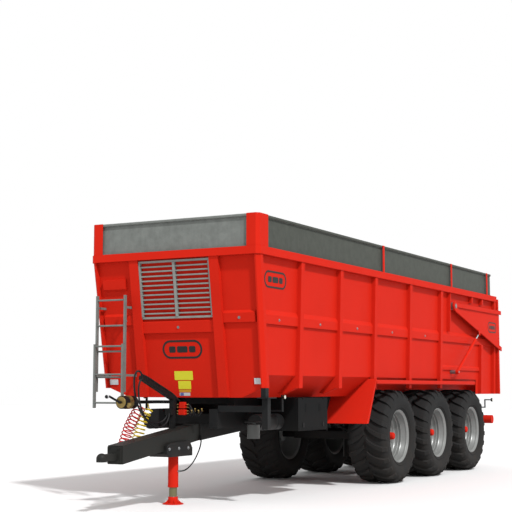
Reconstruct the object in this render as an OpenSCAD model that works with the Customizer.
// Three-axle tipping grain cart with a lift-up tailgate.
// +X points towards the tow coupling, +Y to the cart's left, +Z up.
// The origin is on the ground at the middle of the overall length and width.

/* [Body] */
// Length of the top rail
body_length = 9580; // [8000:20:11500]
// Width over the top rails
body_width = 2550; // [2500:10:3060]
// How far the top rail reaches ahead of the middle axle
front_overhang = 6375; // [6200:5:6700]
// Height of the top rail's upper face above the ground
rail_top = 3200; // [2900:10:3840]
// Height of the top rail
rail_h = 100; // [70:5:130]
// Width of the top rail
rail_w = 85; // [75:5:120]
// Thickness of the body's sheet steel
sheet = 5; // [4:1:8]
// Width of an upright rib
rib_w = 100; // [60:5:120]
// How far a rib stands out from its panel
rib_depth = 62; // [50:2:70]
// Spacing of the ribs ahead of the wheels
front_pitch = 1240; // [1150:10:1280]
// Spacing of the ribs over the wheels
rear_pitch = 1425; // [1300:5:1450]
// Inward lean of the side walls, millimetres per millimetre
side_lean = 0.027; // [0:0.001:0.03]
// Backward lean of the front wall, millimetres per millimetre
front_lean = 0.151; // [0.1:0.001:0.16]
// Height of the extension boards
board_h = 410; // [250:10:600]

/* [Running gear] */
// Outer radius of a tyre
tyre_r = 715; // [690:5:720]
// Width of a tyre
tyre_w = 645; // [600:5:650]
// Distance between the middles of the two wheels on an axle
track = 1890; // [1880:5:1900]
// Distance between neighbouring axles
axle_pitch = 1732; // [1500:2:1800]
// Diameter of the wheel spindles
spindle_d = 90; // [70:1:110]
// Radial clearance between a shaft and its bore
running_gap = 0.05; // [0.02:0.01:0.1]

/* [Chassis] */
// Height of the chassis rails' upper face
chassis_top = 1184; // [1150:2:1184]
// Height of a chassis rail
chassis_h = 244; // [150:2:250]
// Distance of a chassis rail's middle from the centre plane
chassis_y = 440; // [420:5:440]
// Width of a chassis rail
chassis_w = 120; // [80:5:120]
// Diameter of the tipping hinge pins
hinge_pin_d = 60; // [40:1:70]
// Distance from the rear end of the top rail to the tipping hinge
hinge_setback = 355; // [340:5:380]

/* [Drawbar] */
// Reach of the drawbar's front face ahead of the middle axle
drawbar_reach = 7560; // [7400:10:8600]
// Width of the drawbar
drawbar_w = 210; // [150:5:230]
// Diameter of the coupling's ball socket
socket_d = 80.5; // [50.5:0.5:80.5]
// Outer diameter of the parking jack's tube
jack_d = 130; // [110:2:140]

/* [Tipping ram] */
// Diameter of the ram's barrel
ram_d = 200; // [180:2:210]
// Number of telescopic stages
ram_stages = 4; // [4:1:4]

/* [Tailgate] */
// Thickness of the tailgate
gate_t = 65; // [50:5:80]
// Width of the grain hatch
hatch_w = 600; // [400:10:700]
// Height of the grain hatch
hatch_h = 400; // [300:10:450]
// Diameter of a tailgate cylinder's barrel
cyl_d = 54; // [44:1:54]

/* [Hidden] */

// Overall places. x is measured from the middle axle until placed() shifts it.
half_w = body_width / 2;
rail_front = front_overhang;
rail_rear = front_overhang - body_length;
rail_bottom = rail_top - rail_h;
coupling_r = 62;
coupling_x = drawbar_reach + 269;
socket_depth = 45;
arm_overreach = 155;
rear_end = rail_rear - arm_overreach;
mid_x = (coupling_x + coupling_r + rear_end) / 2;
touch = 1;          // gap left where the raised body comes down on its rests
fine = 96;          // facets of large rounds, which carry over as true circles

// Side wall: the ribs' outer line leans in below the top rail.
rail_lip = 12;
panel_bottom = 1610;
rib_bottom = 1448;
post_bottom = 1450;
floor_z = 1330;
swage_out = 28;
swage_z = [2250, 2365, 2425];
function rib_y(z) = half_w - rail_lip - (rail_bottom - z) * side_lean;
function panel_y(z) = rib_y(z) - rib_depth;
function panel_in(z) = panel_y(z) - sheet;

// Front wall: its ribs' outer line leans back below the top rail.
front_depth = 55;
function front_x(z) = rail_front - (rail_top - z) * front_lean;

// Body floor: a flat middle with sloping sides, raised over the wheels.
floor_flat = 850;
haunch = [panel_y(panel_bottom) - 56, 1560];
arch_foot = [560, floor_z];
arch_head = [640, 1520];
arch_front = 2730;

// Chassis
chassis_bottom = chassis_top - chassis_h;
chassis_front = 6050;
chassis_wall = 12;
hinge_x = rail_rear + hinge_setback;
hinge_z = 1100;
chassis_rear = hinge_x + 120;
beam_z = chassis_top + 2;
beam_w = 100;
cross_z = [990, 1120];
spine_front = 5850;
spine_rear = 4600;
spine_w = 260;

// Tipping ram
ram_x = 900;
ram_pivot_z = 950;
ram_top_z = 1235;
ram_foot_z = 330;
ram_mouth_z = 1180;
stage_step = 22;
stage_wall = 9;
trunnion_r = 30;
ram_eye = 52;

// Drawbar: its upper and lower faces rise towards the chassis.
drawbar_nose = [562, 779];
drawbar_wall = 12;
drawbar_rise = [0.1269, 0.1219];
function drawbar_low(x) = drawbar_nose[0] + (drawbar_reach - x) * drawbar_rise[0];
function drawbar_high(x) = drawbar_nose[1] + (drawbar_reach - x) * drawbar_rise[1];

// Parking jack
jack_x = 6295;
jack_tube_z = [210, 700];
jack_bore_r = jack_d / 2 - 12.5;
jack_leg_r = jack_bore_r - 1.5;

// Tailgate
gate_gap = 30;
gate_front = rail_rear - gate_gap;
gate_bottom = 1345;
arm_in = half_w + 6;
arm_plate = 6;
arm_bar = 24;
arm_out = arm_in + arm_plate + arm_bar;
gate_pivot = [rail_rear + 2458, rail_bottom - 226];
gate_pin_r = 25;
cyl_foot = [rail_rear + 2380, 1731];
cyl_head = [rail_rear + 1185, 2440];
cyl_pin_r = 20;
cyl_rod_r = 16;
cyl_y = half_w + 3 + cyl_rod_r;
cyl_run = cyl_head - cyl_foot;
cyl_length = norm(cyl_run);
cyl_angle = atan2(cyl_run[1], cyl_run[0]);

// Wheels
spindle_r = spindle_d / 2;
rim_edge = 279;
hub_in = -165;
hub_out = 118;

// Small fittings
lid_t = 12;
box_x = [4050, 4950];
box_y = [560, 1078];
box_z = [885, 1315];
box_wall = 6;
lid_pin_r = 6;
lid_axis = [box_y[1] + 1 + lid_t / 2, box_z[1] + 2];
lid_lug_w = 30;
lug_x = [box_x[0] + 120, box_x[1] - 150];
ladder_y = [-1130, -690];
ladder_x = 6400;
ladder_slide_gap = 1;
crank_pos = [7020, -300, 1275];

// Routes of the hoses: the air lines are curly, so theirs is the coil's middle line.
red_route = [[6610, -300, 1255], [6610, -300, 1215], [6660, -300, 1160], [6745, -300, 1080],
    [6830, -302, 980], [6895, -305, 860], [6945, -308, 740], [7005, -305, 645], [7095, -295, 595],
    [7185, -260, 595], [7250, -215, 625], [7290, -165, 695], [7290, -105, 695]];
yellow_route = [[6430, -300, 1255], [6430, -300, 1215], [6460, -306, 1150], [6515, -320, 1055],
    [6560, -330, 940], [6600, -335, 820], [6655, -335, 700], [6735, -325, 620], [6820, -300, 590],
    [6900, -260, 600], [6965, -210, 650], [7000, -160, 735], [7000, -105, 735]];
curl_d = 90;
hose_route = [[6925, -60, 1580], [6950, -64, 1640], [7000, -80, 1655], [7025, -100, 1600],
    [7015, -115, 1500], [6985, -125, 1400], [6930, -135, 1290], [6850, -140, 1180],
    [6740, -145, 1090], [6600, -150, 1030], [6470, -148, 1010], [6380, -138, 1020],
    [6320, -120, 1052], [6290, -103, 1100], [6281, -95, 1150]];
hose_d = 26;
jack_hose_route = [[6286, 58, 410], [6240, 95, 412], [6170, 110, 425], [6090, 118, 462],
    [6010, 126, 520], [5945, 135, 595], [5895, 145, 680], [5862, 146, 770], [5838, 122, 850]];
jack_hose_d = 18;

// Shifts a piece from the middle axle's frame to the cart's own frame.
module placed() { translate([-mid_x, 0, 0]) children(); }

// A flat shape drawn in Y and Z, carried along X.
module along_x(x0, x1) { translate([x0, 0, 0]) rotate([90, 0, 90]) linear_extrude(x1 - x0) children(); }

// A flat shape drawn in X and Z, carried along Y.
module along_y(y0, y1) { translate([0, y1, 0]) rotate([90, 0, 0]) linear_extrude(y1 - y0) children(); }

// A box from its lowest to its highest corner.
module block(low, high) { translate(low) cube(high - low); }

// A rod along Y at [x, z].
module rod_y(at, y0, y1, r) { translate([at[0], y0, at[1]]) rotate([-90, 0, 0]) cylinder(r = r, h = y1 - y0, $fn = fine); }

// The same piece on both sides of the centre plane.
module both_sides() {
    children();
    mirror([0, 1, 0]) children();
}

// A left piece turned into a right one.
module on_side(left) {
    if (left) children();
    else mirror([0, 1, 0]) children();
}

// Outward bump of the side panel's swage, from the top down.
swage_line = [[panel_y(swage_z[2]), swage_z[2]], [panel_y(swage_z[1]) + swage_out, swage_z[1]],
    [panel_y(swage_z[0]) + swage_out, swage_z[0]], [panel_y(swage_z[0]), swage_z[0]]];

// Part of the front wall's leaning thickness between two heights, d0 to d1 behind the front line.
module lean_strip(z0, z1, d0, d1) {
    polygon([[front_x(z0) - d1, z0], [front_x(z0) - d0, z0], [front_x(z1) - d0, z1], [front_x(z1) - d1, z1]]);
}

// The side wall's sheet with its swage.
module side_sheet() {
    polygon(concat([[panel_in(panel_bottom), panel_bottom], [panel_in(rail_bottom), rail_bottom],
        [panel_y(rail_bottom), rail_bottom]], swage_line, [[panel_y(panel_bottom), panel_bottom]]));
}

// An upright rib that follows the sheet between two heights, with its inner edge at foot_y at the bottom.
module rib(x, w, z0, z1, foot_y) {
    inner = concat([[panel_y(z1), z1]], [for (p = swage_line) if (p[1] > z0 && p[1] < z1) p],
        z0 < panel_bottom ? [[panel_y(panel_bottom), panel_bottom]] : [], [[foot_y, z0]]);
    along_x(x - w / 2, x + w / 2) polygon(concat([[rib_y(z0), z0], [rib_y(z1), z1]], inner));
}

// The triangular plate that carries a rib's foot under the floor.
module gusset(x) {
    along_x(x - rib_w / 2, x + rib_w / 2)
        polygon([[panel_y(panel_bottom), rib_bottom], [panel_y(panel_bottom), panel_bottom - 0.3],
            haunch + [0.3, -0.3],
            [floor_flat + 60.3, floor_z - 0.3 + (haunch[1] - floor_z) * 60 / (haunch[0] - floor_flat)],
            [floor_flat + 130, floor_z + 40]]);
}

// The corner post behind the front wall's line, with its outer corner taken off.
module corner_post() {
    post_w = 110;
    bevel = 45;
    difference() {
        intersection() {
            along_x(rail_rear, rail_front)
                polygon([[panel_y(panel_bottom), post_bottom], [rib_y(post_bottom), post_bottom],
                    [rib_y(rail_bottom), rail_bottom], [panel_in(rail_bottom), rail_bottom],
                    [panel_in(panel_bottom), panel_bottom], [panel_y(panel_bottom), panel_bottom]]);
            along_y(0, half_w) lean_strip(post_bottom, rail_bottom, 0, post_w);
        }
        translate([front_x(rail_bottom) - bevel, rib_y(rail_bottom), rail_bottom])
            rotate([0, atan((front_lean + side_lean) / sqrt(2)), 45])
                translate([0, -400, -3000]) cube([400, 800, 3400]);
    }
}

module side_wall(left) placed() color("#d8321f") on_side(left) {
    ribs = [for (i = [0:4]) rail_front - 10 - min(i + 1, 3) * front_pitch - max(i - 2, 0) * rear_pitch];
    difference() {
        along_x(rail_rear + 100, rail_front) side_sheet();
        along_y(0, half_w) polygon([[front_x(0) - 110, 0], [rail_front + 999, 0],
            [rail_front + 999, rail_top], [front_x(rail_top) - 110, rail_top]]);
    }
    corner_post();
    for (x = ribs) rib(x, rib_w, rib_bottom, rail_bottom, panel_y(panel_bottom));
    for (x = ribs) if (x > arch_front + rib_w) gusset(x);
    // Rear post, skirt and the short ribs around the tailgate's arm
    along_x(rail_rear, rail_rear + 100)
        polygon([[panel_in(gate_bottom), gate_bottom], [rib_y(gate_bottom), gate_bottom],
            [rib_y(rail_bottom), rail_bottom], [panel_in(rail_bottom), rail_bottom]]);
    along_x(rail_rear + 100, rail_rear + 1000)
        polygon([[panel_in(gate_bottom), gate_bottom], [panel_y(gate_bottom), gate_bottom],
            [panel_y(panel_bottom), panel_bottom], [panel_in(panel_bottom), panel_bottom]]);
    rib(rail_rear + 820, 90, gate_bottom + 12, swage_z[0], panel_y(gate_bottom + 12));
    rib(gate_pivot[0] + 122, 36, swage_z[2], rail_bottom, panel_y(swage_z[2]));
    for (x = [820, 1405]) rib(rail_rear + x, 70, rail_bottom - 110, rail_bottom, panel_y(rail_bottom - 110));
    // Lower swage ahead of the rear rib
    along_x(rail_rear + 865, gate_pivot[0] + 485)
        polygon([[panel_y(1766), 1766], [panel_y(1766) + 22, 1766], [panel_y(1815) + 22, 1815],
            [panel_y(1845), 1845]]);
}

// Front wall with three bays, two ribs and its swages.
module front_wall() placed() color("#bd2c21") {
    rib_at = [605, 67];
    intersection() {
        along_y(-half_w, half_w) lean_strip(floor_z, rail_bottom, front_depth, front_depth + sheet);
        along_x(0, rail_front + 99)
            polygon([[-floor_flat, floor_z], [floor_flat, floor_z], [panel_in(post_bottom), post_bottom],
                [panel_in(rail_bottom), rail_bottom], [-panel_in(rail_bottom), rail_bottom],
                [-panel_in(post_bottom), post_bottom]]);
    }
    for (s = [-1, 1]) along_y(s * rib_at[0] - rib_at[1], s * rib_at[0] + rib_at[1])
        lean_strip(floor_z + 5, rail_bottom, 0, front_depth);
    bay = rib_at[0] - rib_at[1];
    along_y(-bay, bay) polygon([[front_x(2157) - front_depth, 2157], [front_x(2157) - 25, 2157],
        [front_x(2300) - 25, 2300], [front_x(2325) - front_depth, 2325]]);
    for (s = [-1, 1]) along_y(s * 905 - 232, s * 905 + 232)
        polygon([[front_x(2268) - front_depth, 2268], [front_x(2268) - 25, 2268],
            [front_x(2385) - 25, 2385], [front_x(2420) - front_depth, 2420]]);
    // Folded step in the bay behind the ladder
    along_y(-1120, -770) polygon([[front_x(2715) - front_depth, 2715], [front_x(2715) - 15, 2740],
        [front_x(2870) - 15, 2865], [front_x(2874) - front_depth, 2874]]);
}

// Half of the floor's outer line: ahead of the wheels, then over them.
front_half = [[floor_flat, floor_z], haunch, [panel_y(panel_bottom), panel_bottom]];
arch_half = [arch_foot, arch_head, haunch, [panel_y(panel_bottom), panel_bottom]];

// A floor sheet along a half line and its mirror image.
module floor_sheet(line) {
    n = len(line);
    outer = concat([for (i = [n - 1:-1:0]) [-line[i][0], line[i][1]]], line);
    upper = [for (p = line) p[1] == panel_bottom ? [p[0] - sheet, p[1]] : [p[0] - sheet * 0.8, p[1] + sheet]];
    inner = concat([for (i = [n - 1:-1:0]) upper[i]], [for (p = upper) [-p[0], p[1]]]);
    polygon(concat(outer, inner));
}

// The closed outline of the body's underside, used to trim what hangs below it.
module body_outline() {
    n = len(front_half);
    polygon(concat(front_half, [[half_w, panel_bottom], [half_w, rail_top], [-half_w, rail_top],
        [-half_w, panel_bottom]], [for (i = [n - 1:-1:0]) [-front_half[i][0], front_half[i][1]]]));
}

module body_floor() placed() color("#b82a1e") {
    difference() {
        along_x(arch_front, rail_front) floor_sheet(front_half);
        along_y(-half_w, half_w) polygon([[front_x(0) - front_depth - sheet, 0], [rail_front + 999, 0],
            [rail_front + 999, rail_top], [front_x(rail_top) - front_depth - sheet, rail_top]]);
    }
    difference() {
        along_x(rail_rear, arch_front) floor_sheet(arch_half);
        both_sides() along_x(rail_rear - 1, rail_rear + 1000)
            polygon([[panel_in(gate_bottom) - 0.3, gate_bottom], [half_w, gate_bottom],
                [half_w, panel_bottom + 1], [panel_in(panel_bottom + 1) - 0.3, panel_bottom + 1]]);
    }
    both_sides() along_x(arch_front, arch_front + sheet)
        polygon([arch_foot - [4, 0], arch_head + [-4, 5], haunch + [-4, 5], haunch, [floor_flat, floor_z]]);
}

module top_rail() placed() color("#e0351f") {
    corner = 50;
    difference() {
        translate([0, 0, rail_bottom]) linear_extrude(rail_h)
            polygon([[rail_rear, -half_w], [rail_front - corner, -half_w], [rail_front, -half_w + corner],
                [rail_front, half_w - corner], [rail_front - corner, half_w], [rail_rear, half_w]]);
        block([rail_rear + rail_w, -half_w + rail_w, rail_bottom - 1],
            [rail_front - rail_w, half_w - rail_w, rail_top + 1]);
    }
}

// Two long beams under the floor, their cross beams and the hinge lugs.
module body_subframe() placed() color("#2a2a2a") {
    lug_r = 60;
    lug_w = chassis_w - 10;
    both_sides() {
        block([rail_rear + 55, chassis_y - beam_w / 2, beam_z], [chassis_front - 450, chassis_y + beam_w / 2, floor_z]);
        difference() {
            union() {
                block([hinge_x - lug_r, chassis_y - lug_w / 2, hinge_z], [hinge_x + lug_r, chassis_y + lug_w / 2, beam_z]);
                rod_y([hinge_x, hinge_z], chassis_y - lug_w / 2, chassis_y + lug_w / 2, lug_r);
            }
            rod_y([hinge_x, hinge_z], chassis_y - lug_w, chassis_y + lug_w, hinge_pin_d / 2 + running_gap);
        }
    }
    inner = chassis_y - beam_w / 2;
    for (x = [rail_rear + 200, -1200, 2600, 4100, 5450]) block([x, -inner, 1240], [x + 80, inner, floor_z]);
    block([ram_x - 100, -inner, 1280], [ram_x + 100, inner, floor_z]);
    both_sides() block([ram_x - 60, ram_eye + 8, 1205], [ram_x + 60, ram_eye + 28, 1280]);
}

module chassis_rails() placed() color("#1f2021") {
    both_sides() along_x(chassis_rear, chassis_front) difference() {
        translate([chassis_y - chassis_w / 2, chassis_bottom]) square([chassis_w, chassis_h]);
        translate([chassis_y - chassis_w / 2 + chassis_wall, chassis_bottom + chassis_wall])
            square([chassis_w - 2 * chassis_wall, chassis_h - 2 * chassis_wall]);
    }
    along_y(-spine_w / 2, spine_w / 2) polygon([[spine_front, drawbar_low(spine_front)], [spine_front, cross_z[0]],
        [spine_rear, cross_z[0]], [spine_rear, 880]]);
    // Hinge plates on both faces of each rail
    both_sides() for (s = [-1, 1]) {
        y = chassis_y + s * (chassis_w / 2 + 12.5);
        difference() {
            union() {
                block([hinge_x, y - 12.5, hinge_z - 70], [hinge_x + 420, y + 12.5, hinge_z + 70]);
                rod_y([hinge_x, hinge_z], y - 12.5, y + 12.5, 70);
            }
            rod_y([hinge_x, hinge_z], y - 20, y + 20, hinge_pin_d / 2 + running_gap);
        }
    }
    // Spring hangers
    both_sides() for (i = [-1:1], s = [-1, 1])
        block([i * axle_pitch + s * 690 - 35, chassis_y - 40, chassis_bottom - 10],
            [i * axle_pitch + s * 690 + 35, chassis_y + 40, chassis_bottom]);
}

module cross_members() placed() color("#232425") {
    inner = chassis_y - chassis_w / 2;
    outer = chassis_y + chassis_w / 2;
    for (x = [spine_front - 90, spine_rear, 3300, ram_x + 160, -950])
        block([x, -inner, cross_z[0]], [x + 90, inner, cross_z[1]]);
    block([chassis_rear + 95, 25 - inner, cross_z[0]], [chassis_rear + 185, inner - 25, cross_z[1]]);
    // Trunnion plates of the tipping ram
    both_sides() difference() {
        block([ram_x - 60, 130, ram_pivot_z - 60], [ram_x + 160, 155, cross_z[1]]);
        rod_y([ram_x, ram_pivot_z], 120, 165, trunnion_r + running_gap);
    }
    // Brackets of the toolbox and the tank on the left, and of a tank on the right
    for (x = [box_x[0] + 150, box_x[1] - 150]) block([x - 40, outer, 1040], [x + 40, box_y[0], 1120]);
    both_sides() block([5300, outer, 980], [5360, 700, 1040]);
}

module hinge_pins() placed() color("#9a9c9e") {
    reach = chassis_w / 2 + 25 + 6;
    both_sides() {
        rod_y([hinge_x, hinge_z], chassis_y - reach, chassis_y + reach, hinge_pin_d / 2);
        rod_y([hinge_x, hinge_z], chassis_y + reach, chassis_y + reach + 10, hinge_pin_d / 2 + 15);
        rod_y([hinge_x, hinge_z], chassis_y - reach - 10, chassis_y - reach, hinge_pin_d / 2 + 15);
    }
}

// Outline of the drawbar's side, drawn in by d all round.
module drawbar_side(d) {
    polygon([[drawbar_reach - d, drawbar_nose[0] + d], [drawbar_reach - d, drawbar_nose[1] - d],
        [6050, drawbar_high(6050) - d], [spine_front + d, cross_z[0] - d],
        [spine_front + d, drawbar_low(spine_front) + d]]);
}

module drawbar() placed() color("#3b3c3a") difference() {
    along_y(-drawbar_w / 2, drawbar_w / 2) drawbar_side(0);
    along_y(-drawbar_w / 2 + drawbar_wall, drawbar_w / 2 - drawbar_wall) drawbar_side(drawbar_wall);
}

// Bolted flange, shank and the cup that sits over the tractor's ball.
module tow_coupling() placed() color("#3f4144") {
    plate_t = 25;
    cup_z = 600;
    cup_h = 40;
    difference() {
        union() {
            block([drawbar_reach, -95, cup_z - 28], [drawbar_reach + plate_t, 95, cup_z + 168]);
            block([drawbar_reach + plate_t, -42, cup_z + 8], [coupling_x, 42, cup_z + 88]);
            translate([coupling_x, 0, cup_z]) cylinder(r = coupling_r, h = cup_h, $fn = fine);
            intersection() {
                translate([coupling_x, 0, cup_z + cup_h]) sphere(r = coupling_r, $fn = fine);
                block([coupling_x - 2 * coupling_r, -2 * coupling_r, cup_z],
                    [coupling_x + 2 * coupling_r, 2 * coupling_r, cup_z + cup_h + 2 * coupling_r]);
            }
        }
        translate([coupling_x, 0, cup_z - 20]) cylinder(r = socket_d / 2, h = 20 + socket_depth, $fn = fine);
    }
    for (y = [-70, 70], z = [-8, 148]) translate([drawbar_reach + plate_t, y, cup_z + z])
        rotate([0, 90, 0]) cylinder(r = 16, h = 14, $fn = 6);
}

module jack_mount() placed() color("#35373a") difference() {
    along_y(-150, 150) polygon([[6680, 640], [6680, 740], [6600, 775], [6150, 790], [6080, 700], [6080, 600], [6600, 600]]);
    along_y(-drawbar_w / 2, drawbar_w / 2) drawbar_side(0);
    translate([jack_x, 0, 500]) cylinder(r = jack_d / 2, h = jack_tube_z[1] - 500, $fn = fine);
}

module jack_tube() placed() color("#e0331f") difference() {
    translate([jack_x, 0, jack_tube_z[0]]) cylinder(r = jack_d / 2, h = jack_tube_z[1] - jack_tube_z[0], $fn = fine);
    translate([jack_x, 0, jack_tube_z[0] - 1])
        cylinder(r = jack_bore_r, h = jack_tube_z[1] - jack_tube_z[0] - 9, $fn = fine);
}

module jack_leg() placed() color("#8f8f6a") translate([jack_x, 0, 0]) {
    cylinder(r = 132, h = 14, $fn = fine);
    translate([0, 0, 14]) cylinder(r = jack_d / 2 - 3, h = 81, $fn = fine);
    translate([0, 0, 95]) cylinder(r = jack_leg_r, h = 465, $fn = fine);
}

// Square axle beams with a round spindle at each end.
module axle_beams() placed() color("#2b2c2e") for (i = [-1:1]) translate([i * axle_pitch, 0, tyre_r]) {
    block([-60, -565, -60], [60, 565, 60]);
    both_sides() rod_y([0, 0], 565, track / 2 + hub_out - 10, spindle_r);
}

// One leaf, curved up at both ends.
module leaf(half, rise, low, t) {
    step = 100;
    curve = [for (x = [-half:step:half]) [x, low + rise * pow(x / 700, 2)]];
    polygon(concat(curve, [for (i = [len(curve) - 1:-1:0]) curve[i] + [0, t]]));
}

module leaf_springs() placed() color("#303234") both_sides() for (i = [-1:1])
    translate([i * axle_pitch, 0, tyre_r + 60]) {
        t = 14;
        rise = chassis_bottom - tyre_r - 80 - 3 * t;
        for (k = [0:2]) along_y(chassis_y - 35, chassis_y + 35) leaf(300 + 200 * k, rise, 10 + k * t, t);
        block([-70, chassis_y - 45, 0], [70, chassis_y + 45, 10]);
    }

// A rim with its disc, hub and nose, turned about the wheel's own axis; +z points outwards.
module rim_turned() {
    bore_r = spindle_r + running_gap;
    hub_r = 110;
    nose_r = 55;
    rotate_extrude($fn = fine) polygon([[bore_r, hub_in], [hub_r, hub_in], [hub_r, 45], [150, 48], [335, 20],
        [335, -165], [358, -215], [360, -255], [392, -rim_edge], [402, -rim_edge], [402, -268], [374, -262],
        [370, -215], [345, -170], [345, 170], [370, 215], [374, 262], [402, 268], [402, rim_edge],
        [392, rim_edge], [360, 255], [358, 215], [335, 165], [335, 35], [150, 64], [hub_r, 66],
        [hub_r, 115], [nose_r, hub_out], [nose_r, 195], [0, 195], [0, hub_out], [bore_r, hub_out]]);
}

// A hollow tyre whose beads sit on the rim.
module tyre_turned() {
    w = tyre_w / 2;
    out_half = [[tyre_r, w - 92], [tyre_r - 9, w - 52], [tyre_r - 35, w - 20], [tyre_r - 95, w],
        [tyre_r - 155, w], [480, w - 14], [412, 287], [402, 268], [374, 262], [370, 215]];
    in_half = [[396, 208], [425, 232], [480, w - 42], [tyre_r - 155, w - 27], [tyre_r - 95, w - 27],
        [tyre_r - 52, w - 45], [tyre_r - 30, w - 92]];
    outer = concat(out_half, in_half);
    n = len(outer);
    rotate_extrude($fn = fine) polygon(concat(outer, [for (i = [n - 1:-1:0]) [outer[i][0], -outer[i][1]]]));
}

// Puts a wheel piece on axle i, on the left or the right.
module on_axle(i, left) {
    side = left ? 1 : -1;
    placed() translate([i * axle_pitch, side * track / 2, tyre_r]) rotate([-90 * side, 0, 0]) children();
}

module tyre(i, left) { color("#2c2c2d") on_axle(i, left) tyre_turned(); }
module rim(i, left) { color("#b9bcbe") on_axle(i, left) rim_turned(); }

// Stage k of the telescopic ram; stage 0 is the barrel.
module ram_stage(k) placed() {
    r = ram_d / 2 - k * stage_step / 2;
    foot = ram_foot_z + k * 12;
    mouth = ram_mouth_z + k * 6;
    last = k == ram_stages;
    color(k == 0 ? "#2a2b2d" : "#a9adb0") {
        difference() {
            translate([ram_x, 0, foot]) cylinder(r = r, h = mouth - foot, $fn = fine);
            if (!last) translate([ram_x, 0, foot + 10]) cylinder(r = r - stage_wall, h = mouth - foot, $fn = fine);
        }
        if (k == 0) both_sides() rod_y([ram_x, ram_pivot_z], r - 6, 162, trunnion_r);
        if (last) {
            translate([ram_x, 0, mouth]) cylinder(r = 26, h = ram_top_z - mouth - 10, $fn = fine);
            rod_y([ram_x, ram_top_z], -ram_eye, ram_eye, 28);
        }
    }
}

module toolbox() placed() color("#1b1c1d") {
    difference() {
        block([box_x[0], box_y[0], box_z[0]], [box_x[1], box_y[1], box_z[1]]);
        block([box_x[0] + box_wall, box_y[0] + box_wall, box_z[0] + box_wall],
            [box_x[1] - box_wall, box_y[1] + 1, box_z[1] - box_wall]);
    }
    for (x = lug_x) difference() {
        union() {
            block([x, lid_axis[0] - 30, box_z[1] - 4], [x + lid_lug_w, lid_axis[0], lid_axis[1] + 11]);
            along_x(x, x + lid_lug_w) translate(lid_axis) circle(r = 11, $fn = fine);
        }
        along_x(x - 1, x + lid_lug_w + 1) translate(lid_axis) circle(r = lid_pin_r + running_gap, $fn = fine);
        block([x - 1, 0, box_z[1] - 20], [x + lid_lug_w + 1, box_y[1] - box_wall, box_z[1] - box_wall]);
    }
}

// Lid over the box's open outer face, with a pin along its upper edge.
module toolbox_lid() placed() color("#222324") {
    difference() {
        block([box_x[0], box_y[1] + 1, box_z[0]], [box_x[1], box_y[1] + 1 + lid_t, box_z[1]]);
        for (x = lug_x) block([x - 2, box_y[1], box_z[1] - 14], [x + lid_lug_w + 2, box_y[1] + 99, box_z[1] + 1]);
    }
    along_x(box_x[0], box_x[1]) translate(lid_axis) circle(r = lid_pin_r, $fn = fine);
}

// Two air tanks beside the rails and the grey hand-wash canister at the left rest.
module air_tanks() placed() color("#7b7e80") {
    tank_r = 105;
    both_sides() translate([5000, 805, 1010]) rotate([0, 90, 0]) cylinder(r = tank_r, h = 620, $fn = fine);
    translate([5830, 900, 815]) cylinder(r = 80, h = 175, $fn = fine);
    translate([5830, 900, 990]) cylinder(r = 22, h = 30, $fn = fine);
}

// The post that carries the lowered body's front left corner, on an arm from the chassis.
module body_rests() placed() color("#1d1e1f") {
    outer = chassis_y + chassis_w / 2;
    x0 = front_x(post_bottom) - 105;
    post_y = rib_y(post_bottom);
    block([chassis_front - 90, outer, 1150], [chassis_front - 10, post_y - 85, 1230]);
    block([chassis_front - 90, post_y - 85, 940], [chassis_front - 10, post_y - 5, 1320]);
    block([chassis_front - 150, post_y - 110, 1320], [x0 + 120, post_y + 50, 1335]);
    block([x0 + 10, post_y - 68, 1335], [x0 + 95, post_y - 2, post_bottom - touch]);
    // Bracket of the canister
    block([5740, 880, 1020], [chassis_front - 10, 960, 1030]);
    block([chassis_front - 90, 960, 1020], [chassis_front - 10, post_y - 85, 1030]);
}

// Lamps on arms: white ones ahead of the toolbox, red ones behind the rear wheels.
module marker_lamps() placed() color("#c9c4b4") both_sides() {
    outer = chassis_y + chassis_w / 2;
    block([5320, outer, 1146], [5350, 1062, 1166]);
    block([5320, 1042, 1166], [5350, 1062, 1360]);
    translate([5335, 1062, 1334]) rotate([-90, 0, 0]) cylinder(r = 26, h = 30, $fn = 32);
    block([hinge_x - 65, outer + 25, 1085], [hinge_x - 47, 1090, 1105]);
    block([hinge_x - 65, 1090, 1085], [hinge_x - 47, 1110, 1245]);
    block([hinge_x - 65, 1110, 1225], [hinge_x - 47, 1222, 1245]);
    translate([hinge_x - 56, 1222, 1235]) rotate([-90, 0, 0]) cylinder(r = 32, h = 28, $fn = 32);
}

module underrun_bumper() placed() color("#d8321f") {
    bar_x = hinge_x - 180;
    bar_z = 870;
    rod_y([bar_x, bar_z], -1200, 1200, 78);
    both_sides() along_y(chassis_y - 75, chassis_y - 60)
        polygon([[bar_x + 77, bar_z - 60], [bar_x + 77, bar_z + 60], [chassis_rear + 10, chassis_bottom + 60],
            [chassis_rear + 90, chassis_bottom + 60], [chassis_rear + 90, chassis_bottom]]);
}

// Post on the drawbar with the arm that holds the hoses up.
module hose_stand() placed() color("#222324") {
    along_y(-90, -30) polygon([[6200, drawbar_high(6200)], [6260, drawbar_high(6260)], [6260, 1300],
        [6962, 1556], [6945, 1603], [6200, 1345]]);
    block([6262, -130, 1110], [6300, -30, 1190]);
    block([6260, -90, 1110], [6262, -30, 1190]);
}

// Bracket from the hose stand, the winch's drum and the holders of the air lines.
module brake_winch() placed() color("#2d2d2a") {
    drum_r = 80;
    y = crank_pos[1];
    z = crank_pos[2];
    block([6200, y - 30, z - 20], [6760, y + 30, z + 20]);
    block([6200, y + 30, z - 20], [6260, -90, z + 20]);
    translate([6760, y, z]) rotate([0, 90, 0]) cylinder(r = drum_r, h = crank_pos[0] - 6760, $fn = fine);
}

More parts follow.
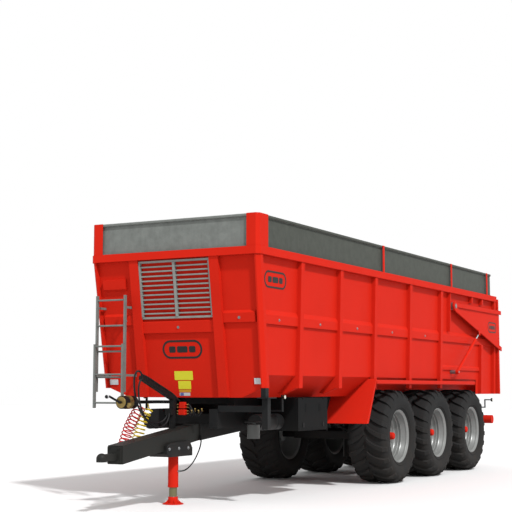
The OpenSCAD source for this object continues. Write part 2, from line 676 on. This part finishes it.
// Crank with its ball grip, on the drum's axis.
module brake_crank() placed() color("#2a2a2b") translate(crank_pos) {
    arm = 175;
    tilt = -25;
    translate([1, 0, 0]) rotate([0, 90, 0]) cylinder(r = 16, h = 47, $fn = fine);
    translate([26, 0, 0]) rotate([tilt, 0, 0]) block([0, -arm, -12], [15, 0, 12]);
    rotate([tilt, 0, 0]) translate([41, -arm + 12, 0]) {
        rotate([0, 90, 0]) rotate_extrude($fn = 32)
            polygon([[0, -6], [9, -6], [9, 30], [20, 36], [24, 52], [21, 70], [12, 79], [0, 79]]);
    }
}

// A tube of the given number of sides swept along a route's own points.
module hose(route, d, sides) {
    n = len(route);
    function ahead(i) = let (a = route[max(i - 1, 0)], b = route[min(i + 1, n - 1)]) (b - a) / norm(b - a);
    function across(v) = let (c = cross(v, abs(v[2]) > 0.9 ? [1, 0, 0] : [0, 0, 1])) c / norm(c);
    points = [for (i = [0:n - 1], k = [0:sides - 1])
        let (v = ahead(i), a = across(v), b = cross(a, v), t = 360 * k / sides)
        route[i] + d / 2 * (cos(t) * a + sin(t) * b)];
    walls = [for (i = [0:n - 2], k = [0:sides - 1])
        [i * sides + k, i * sides + (k + 1) % sides, (i + 1) * sides + (k + 1) % sides, (i + 1) * sides + k]];
    caps = [[for (k = [sides - 1:-1:0]) k], [for (k = [0:sides - 1]) (n - 1) * sides + k]];
    polyhedron(points, concat(walls, caps));
}

module air_line_red() { placed() color("#c8201c") hose(red_route, curl_d, 12); }
module air_line_yellow() { placed() color("#d8b818") hose(yellow_route, curl_d, 12); }
module hydraulic_hose() { placed() color("#191919") hose(hose_route, hose_d, 10); }
module jack_hose() { placed() color("#191919") hose(jack_hose_route, jack_hose_d, 8); }

// Galvanised louvre in the front wall's middle bay.
module front_grille() placed() color("#7f8a86") {
    w = 538;
    low = 2340;
    high = 3085;
    slats = 12;
    bar = 26;
    pitch = (high - low - bar) / slats;
    for (i = [0:slats]) along_y(-w, w)
        lean_strip(low + i * pitch, low + i * pitch + (i % slats == 0 ? bar : 18), 22, front_depth - 0.3);
    for (y = [-w, -18, w - bar]) along_y(y, y + (y == -18 ? 36 : bar))
        lean_strip(low + bar, high - bar, 14, front_depth - 0.3);
}

board_in = half_w - 60;
board_rear = rail_rear + 205;
board_front = rail_front - 55;
hem = 35;

// One board drawn in its thickness and height: sheet, rolled upper hem and lower flange.
module board_side() {
    polygon([[0, 0], [hem - 9, 0], [hem - 9, 12], [sheet, 12], [sheet, board_h - 36], [hem - 10, board_h - 36],
        [hem - 2, board_h - 28], [hem - 2, board_h - 8], [hem - 10, board_h], [0, board_h]]);
}

module extension_boards() placed() color("#7d8278") {
    both_sides() translate([0, board_in, rail_top]) along_x(board_rear + 40, board_front - 40) board_side();
    translate([board_front, 0, rail_top]) along_y(-board_in, board_in) board_side();
    translate([board_rear, 0, rail_top]) along_y(-board_in, board_in) mirror([1, 0]) board_side();
}

// Red posts of the boards: folded corner angles at the front, straps along the sides.
module extension_posts() placed() color("#d8321f") {
    out = hem + 10;
    both_sides() {
        translate([0, 0, rail_top]) linear_extrude(board_h + 2) polygon([
            [board_front + hem, board_in - 125], [board_front + out, board_in - 125],
            [board_front + out, board_in + 5], [board_front + 5, board_in + out],
            [board_front - 215, board_in + out], [board_front - 215, board_in + hem],
            [board_front, board_in + hem], [board_front + hem, board_in]]);
        for (x = [rail_front - 4020, rail_front - 7080, rail_rear + 520])
            block([x - 30, board_in + hem, rail_top], [x + 30, board_in + out, board_h + rail_top]);
    }
}

// Fixed upper ladder on brackets, ahead of the front wall's right bay.
module ladder_upper() placed() color("#8d928c") {
    low = 1400;
    high = 2653;
    for (y = ladder_y) block([ladder_x - 20, y - 12, low], [ladder_x + 20, y + 12, high]);
    for (i = [0:3]) translate([ladder_x, 0, 1590 + i * 334]) rotate([-90, 0, 0])
        translate([0, 0, ladder_y[0] + 12]) cylinder(r = 12, h = ladder_y[1] - ladder_y[0] - 24, $fn = 32);
    for (y = ladder_y, z = [1600, 2480])
        along_y(y - 10, y + 10) polygon([[front_x(z) - front_depth, z], [ladder_x - 20, z],
            [ladder_x - 20, z + 30], [front_x(z + 30) - front_depth, z + 30]]);
}

// Lower ladder section, which slides up in front of the upper one.
module ladder_lower() placed() color("#8d928c") {
    x = ladder_x + 40 + ladder_slide_gap;
    for (y = ladder_y) block([x - 20, y - 12, 1190], [x + 20, y + 12, 2020]);
    for (z = [1260, 1625, 1990]) translate([x, 0, z]) rotate([-90, 0, 0])
        translate([0, 0, ladder_y[0] + 12]) cylinder(r = 12, h = ladder_y[1] - ladder_y[0] - 24, $fn = 32);
}

// Sloping front plates and the rails that run along above the wheels.
module mudguards() placed() color("#e0351f") both_sides() {
    rail_z = [1510, 1572];
    gap = 0.1;
    along_x(-axle_pitch - 90, arch_front - 20)
        polygon([[rib_y(rail_z[0]) + gap, rail_z[0]], [half_w - 8, rail_z[0]], [half_w, rail_z[0] + 10],
            [half_w, rail_z[1] - 10], [half_w - 8, rail_z[1]], [rib_y(rail_z[1]) + gap, rail_z[1]]]);
    difference() {
        union() {
            along_y(600, half_w) polygon([[arch_front + 8, 1588], [arch_front + 14, 1588], [3104, 940], [3098, 935]]);
            along_y(half_w - 6, half_w) polygon([[arch_front - 19, 1574], [arch_front + 14, 1588], [3104, 940], [3040, 940]]);
        }
        along_x(0, rail_front) body_outline_wide();
        along_x(0, rail_front) polygon([[0, panel_bottom], [panel_y(panel_bottom), panel_bottom],
            [rib_y(panel_bottom), panel_bottom], [rib_y(rail_top), rail_top], [0, rail_top]]);
    }
}

// The underside's outline without the overhang beyond the panels.
module body_outline_wide() {
    polygon(concat([[0, floor_z]], front_half, [[0, panel_bottom]]));
}

// Bosses and pins on the body for the tailgate's arms and the cylinders' feet.
module tailgate_pivots() placed() color("#a8aaab") both_sides() {
    boss_y = panel_y(gate_pivot[1] + 65);
    rod_y(gate_pivot, boss_y, arm_in - 3, 65);
    rod_y(gate_pivot, arm_in - 3, arm_out + 2, gate_pin_r);
    rod_y(gate_pivot, arm_out + 2, arm_out + 8, gate_pin_r + 17);
    foot_y = panel_y(cyl_foot[1] + 32);
    rod_y(cyl_foot, foot_y, cyl_y - cyl_d / 2 - 1, 32);
    rod_y(cyl_foot, cyl_y - cyl_d / 2 - 1, cyl_y + cyl_d / 2 + 2, cyl_pin_r);
}

// Rear door with stiffening frame, the hatch's opening and guides.
module tailgate_panel() placed() color("#d8321f") {
    skin = 6;
    x0 = gate_front - gate_t;
    top = rail_top - 50;
    hatch_z = gate_bottom + 105;
    difference() {
        union() {
            block([gate_front - skin, -arm_in, gate_bottom], [gate_front, arm_in, top]);
            for (z = [gate_bottom, 2230, top - 90]) block([x0, -arm_in, z], [gate_front - skin, arm_in, z + 90]);
            for (y = [-arm_in + 45, -620, 620, arm_in - 45])
                block([x0, y - 45, gate_bottom + 90], [gate_front - skin, y + 45, top - 90]);
        }
        block([x0 - 1, -hatch_w / 2, hatch_z], [gate_front + 1, hatch_w / 2, hatch_z + hatch_h]);
    }
    // Guides that hold the hatch against the skin
    both_sides() along_z_guide(hatch_w / 2 + 20, x0 + 18, gate_front - skin, hatch_z - 10, hatch_z + 2 * hatch_h - 150);
}

// A guide rail with a groove for the hatch's edge, on the left of the hatch.
module along_z_guide(y, x0, x1, z0, z1) {
    groove = [x1 - 16, x1];
    difference() {
        block([x0, y, z0], [x1, y + 50, z1]);
        block([groove[0], y - 1, z0 - 1], [groove[1] + 1, y + 25, z1 + 1]);
    }
}

// Sliding grain hatch with its pull handle.
module grain_hatch() placed() color("#9da1a2") {
    x1 = gate_front - 6 - 3;
    z0 = gate_bottom + 97;
    block([x1 - 8, -hatch_w / 2 - 40, z0], [x1, hatch_w / 2 + 40, z0 + hatch_h + 25]);
    block([x1 - 40, -90, z0 + 60], [x1 - 28, 90, z0 + 72]);
    for (y = [-90, 78]) block([x1 - 28, y, z0 + 60], [x1 - 8, y + 12, z0 + 72]);
}

// Side plates that carry the tailgate from its high pivots.
module tailgate_arms() placed() color("#d8321f") both_sides() {
    p = gate_pivot;
    tail = rear_end;
    low = [p[1] - 84, 2180];
    bar = 74;
    difference() {
        union() {
            along_y(arm_in, arm_in + arm_plate) polygon([[p[0], p[1] + 56], [tail + 60, p[1] + 56], [tail + 60, low[1] + 20],
                [p[0], low[0]]]);
            along_y(arm_in + arm_plate, arm_out) polygon([[p[0], p[1] + 56], [tail, p[1] + 56],
                [tail, p[1] + 56 - bar], [p[0], p[1] + 56 - bar]]);
            along_y(arm_in + arm_plate, arm_out) polygon([[p[0], low[0] + bar], [tail, low[1] + bar - 20],
                [tail, low[1] - 20], [p[0], low[0] - 10]]);
            rod_y(p, arm_in, arm_out, 84);
        }
        rod_y(p, arm_in - 1, arm_out + 1, gate_pin_r + running_gap);
    }
    // Outer lug over the cylinder's head
    h = cyl_head;
    along_y(arm_out, arm_out + 5) polygon([[h[0] - 34, h[1] - 30], [h[0] + 34, h[1] - 30],
        [h[0] + 60, h[1] + 75], [h[0] - 60, h[1] + 75]]);
}

// Drawn in a cylinder's own direction: x runs from its foot to its head.
module along_cylinder() {
    placed() translate([cyl_foot[0], cyl_y, cyl_foot[1]]) rotate([0, -cyl_angle, 0]) children();
}

module gate_cylinder(left) color("#d8321f") on_side(left) along_cylinder() difference() {
    union() {
        translate([36, 0, 0]) rotate([0, 90, 0]) cylinder(r = cyl_d / 2, h = cyl_length - 210 - 36, $fn = fine);
        translate([0, cyl_d / 2, 0]) rotate([90, 0, 0]) cylinder(r = 38, h = cyl_d, $fn = fine);
    }
    translate([0, cyl_d, 0]) rotate([90, 0, 0]) cylinder(r = cyl_pin_r + running_gap, h = 2 * cyl_d, $fn = fine);
    translate([60, 0, 0]) rotate([0, 90, 0]) cylinder(r = cyl_rod_r + 1, h = cyl_length, $fn = fine);
}

module gate_rod(left) color("#c5c8ca") on_side(left) along_cylinder() {
    translate([90, 0, 0]) rotate([0, 90, 0]) cylinder(r = cyl_rod_r, h = cyl_length - 90 - 20, $fn = fine);
    eye = cyl_rod_r - 1;
    translate([cyl_length, eye, 0]) rotate([90, 0, 0]) cylinder(r = 26, h = 2 * eye, $fn = fine);
}

chassis_rails();
cross_members();
hinge_pins();
drawbar();
tow_coupling();
jack_mount();
jack_tube();
jack_leg();
axle_beams();
leaf_springs();
toolbox();
toolbox_lid();
air_tanks();
body_rests();
marker_lamps();
underrun_bumper();
hose_stand();
brake_winch();
brake_crank();
air_line_red();
air_line_yellow();
hydraulic_hose();
jack_hose();
ram_stage(0);  // ram_barrel
ram_stage(1);  // ram_stage_1
ram_stage(2);  // ram_stage_2
ram_stage(3);  // ram_stage_3
ram_stage(4);  // ram_stage_4
tyre(1, true);  // tyre_front_left
tyre(1, false);  // tyre_front_right
tyre(0, true);  // tyre_middle_left
tyre(0, false);  // tyre_middle_right
tyre(-1, true);  // tyre_rear_left
tyre(-1, false);  // tyre_rear_right
rim(1, true);  // rim_front_left
rim(1, false);  // rim_front_right
rim(0, true);  // rim_middle_left
rim(0, false);  // rim_middle_right
rim(-1, true);  // rim_rear_left
rim(-1, false);  // rim_rear_right
body_floor();
front_wall();
side_wall(true);  // side_wall_left
side_wall(false);  // side_wall_right
top_rail();
body_subframe();
front_grille();
extension_boards();
extension_posts();
ladder_upper();
ladder_lower();
mudguards();
tailgate_pivots();
tailgate_panel();
tailgate_arms();
grain_hatch();
gate_cylinder(true);  // gate_cylinder_left
gate_cylinder(false);  // gate_cylinder_right
gate_rod(true);  // gate_rod_left
gate_rod(false);  // gate_rod_right
